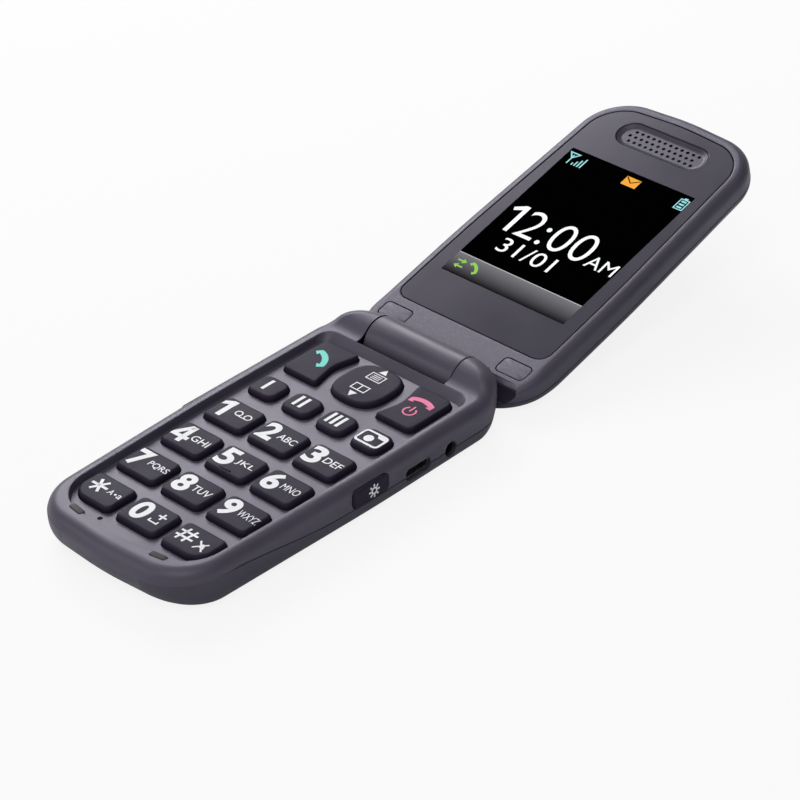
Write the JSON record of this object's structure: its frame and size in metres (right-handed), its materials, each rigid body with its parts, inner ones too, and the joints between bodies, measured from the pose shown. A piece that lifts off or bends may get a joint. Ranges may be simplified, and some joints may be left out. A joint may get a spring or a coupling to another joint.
{
  "type": "flip phone",
  "caption": "Dark grey clamshell mobile phone, opened flat, with large backlit keys, a colour display in the lid, a navigation rocker and side ports.",
  "frame": {"origin": "middle of the base's flat back face, half way along the closed phone", "axes": "+Y along the phone from the keypad's bottom end to the hinge and lid, +Z out of the keypad, +X to the right of someone reading the keys"},
  "size_m": [0.052, 0.1971, 0.0291],
  "materials": {
    "back_shell": "satin dark grey moulded plastic",
    "battery": "black wrapped battery",
    "black_part": "black moulded component",
    "board": "green solder mask",
    "brass_part": "gold flashed",
    "chassis": "moulded inner frame",
    "display": "display panel",
    "film": "clear printed film",
    "flex": "amber polyimide film",
    "grille": "perforated grille",
    "housing": "satin dark grey moulded plastic with a slight violet tint",
    "keys": "soft-touch charcoal keycap",
    "lens": "dark camera cover glass",
    "lid_frame": "fine-grained dark grey plastic with a faint sparkle",
    "rubber_pad": "soft black rubber",
    "silicone": "grey silicone",
    "steel": "plain steel",
    "tin": "tinned sheet",
    "window": "clear window, printed dark behind"
  },
  "bodies": {
    "base": {"base_front_housing": "housing", "back_cover": "back_shell", "chassis": "chassis", "battery_pack": "battery", "main_board": "board", "shield_cans": "tin", "dome_sheet": "film", "key_mat": "silicone", "usb_socket": "steel", "headset_jack": "black_part", "microphone": "brass_part", "loudspeaker": "black_part", "vibration_motor": "steel", "sim_holder": "tin", "battery_contacts": "brass_part", "antenna": "flex", "housing_screws": "steel", "closing_bumpers": "rubber_pad", "hinge_cartridge": "steel", "hinge_bush": "steel", "hinge_flex_base": "flex"},
    "lid": {"lid_front_housing": "lid_frame", "lid_rear_housing": "back_shell", "display_window": "window", "display_module": "display", "earpiece_grille": "grille", "earpiece_receiver": "black_part", "lid_board": "board", "camera_module": "black_part", "camera_window": "lens", "screw_plugs": "lid_frame", "lid_screws": "steel", "lid_magnet": "steel", "hinge_flex_lid": "flex"},
    "nav": {"nav_key": "keys"},
    "light": {"light_key": "keys"},
    "volume": {"volume_key": "keys"},
    "send_key": {"send_key": "keys"},
    "end_key": {"end_key": "keys"},
    "memory_key_1": {"memory_key_1": "keys"},
    "memory_key_2": {"memory_key_2": "keys"},
    "memory_key_3": {"memory_key_3": "keys"},
    "camera_key": {"camera_key": "keys"},
    "key_1": {"key_1": "keys"},
    "key_2": {"key_2": "keys"},
    "key_3": {"key_3": "keys"},
    "key_4": {"key_4": "keys"},
    "key_5": {"key_5": "keys"},
    "key_6": {"key_6": "keys"},
    "key_7": {"key_7": "keys"},
    "key_8": {"key_8": "keys"},
    "key_9": {"key_9": "keys"},
    "key_0": {"key_0": "keys"},
    "key_star": {"key_star": "keys"},
    "key_hash": {"key_hash": "keys"}
  },
  "joints": [
    {"name": "lid_hinge", "type": "hinge", "parent": "base", "child": "lid", "pos_m": [0, 0.04685, 0.00746], "axis": [1, 0, 0], "range_deg": [0, 165.4]},
    {"name": "nav_rock", "type": "hinge", "parent": "base", "child": "nav", "pos_m": [0, 0.029, 0.008], "axis": [1, 0, 0], "range_deg": [-2.5, 2.5], "stiffness_Nm_per_rad": 0.05},
    {"name": "light_press", "type": "slide", "parent": "base", "child": "light", "axis": [-1, 0, 0], "range_m": [0, 0.0003], "stiffness_N_per_m": 200},
    {"name": "volume_rock", "type": "hinge", "parent": "base", "child": "volume", "pos_m": [-0.0252, 0.006, 0.00625], "axis": [0, 0, 1], "range_deg": [-1.5, 1.5], "stiffness_Nm_per_rad": 0.1},
    {"name": "send_press", "type": "slide", "parent": "base", "child": "send_key", "axis": [0, 0, -1], "range_m": [0, 0.0004], "stiffness_N_per_m": 200},
    {"name": "end_press", "type": "slide", "parent": "base", "child": "end_key", "axis": [0, 0, -1], "range_m": [0, 0.0004], "stiffness_N_per_m": 200},
    {"name": "memory_1_press", "type": "slide", "parent": "base", "child": "memory_key_1", "axis": [0, 0, -1], "range_m": [0, 0.0004], "stiffness_N_per_m": 200},
    {"name": "memory_2_press", "type": "slide", "parent": "base", "child": "memory_key_2", "axis": [0, 0, -1], "range_m": [0, 0.0004], "stiffness_N_per_m": 200},
    {"name": "memory_3_press", "type": "slide", "parent": "base", "child": "memory_key_3", "axis": [0, 0, -1], "range_m": [0, 0.0004], "stiffness_N_per_m": 200},
    {"name": "camera_press", "type": "slide", "parent": "base", "child": "camera_key", "axis": [0, 0, -1], "range_m": [0, 0.0004], "stiffness_N_per_m": 200},
    {"name": "key_1_press", "type": "slide", "parent": "base", "child": "key_1", "axis": [0, 0, -1], "range_m": [0, 0.0004], "stiffness_N_per_m": 200},
    {"name": "key_2_press", "type": "slide", "parent": "base", "child": "key_2", "axis": [0, 0, -1], "range_m": [0, 0.0004], "stiffness_N_per_m": 200},
    {"name": "key_3_press", "type": "slide", "parent": "base", "child": "key_3", "axis": [0, 0, -1], "range_m": [0, 0.0004], "stiffness_N_per_m": 200},
    {"name": "key_4_press", "type": "slide", "parent": "base", "child": "key_4", "axis": [0, 0, -1], "range_m": [0, 0.0004], "stiffness_N_per_m": 200},
    {"name": "key_5_press", "type": "slide", "parent": "base", "child": "key_5", "axis": [0, 0, -1], "range_m": [0, 0.0004], "stiffness_N_per_m": 200},
    {"name": "key_6_press", "type": "slide", "parent": "base", "child": "key_6", "axis": [0, 0, -1], "range_m": [0, 0.0004], "stiffness_N_per_m": 200},
    {"name": "key_7_press", "type": "slide", "parent": "base", "child": "key_7", "axis": [0, 0, -1], "range_m": [0, 0.0004], "stiffness_N_per_m": 200},
    {"name": "key_8_press", "type": "slide", "parent": "base", "child": "key_8", "axis": [0, 0, -1], "range_m": [0, 0.0004], "stiffness_N_per_m": 200},
    {"name": "key_9_press", "type": "slide", "parent": "base", "child": "key_9", "axis": [0, 0, -1], "range_m": [0, 0.0004], "stiffness_N_per_m": 200},
    {"name": "key_0_press", "type": "slide", "parent": "base", "child": "key_0", "axis": [0, 0, -1], "range_m": [0, 0.0004], "stiffness_N_per_m": 200},
    {"name": "key_star_press", "type": "slide", "parent": "base", "child": "key_star", "axis": [0, 0, -1], "range_m": [0, 0.0004], "stiffness_N_per_m": 200},
    {"name": "key_hash_press", "type": "slide", "parent": "base", "child": "key_hash", "axis": [0, 0, -1], "range_m": [0, 0.0004], "stiffness_N_per_m": 200}
  ]
}
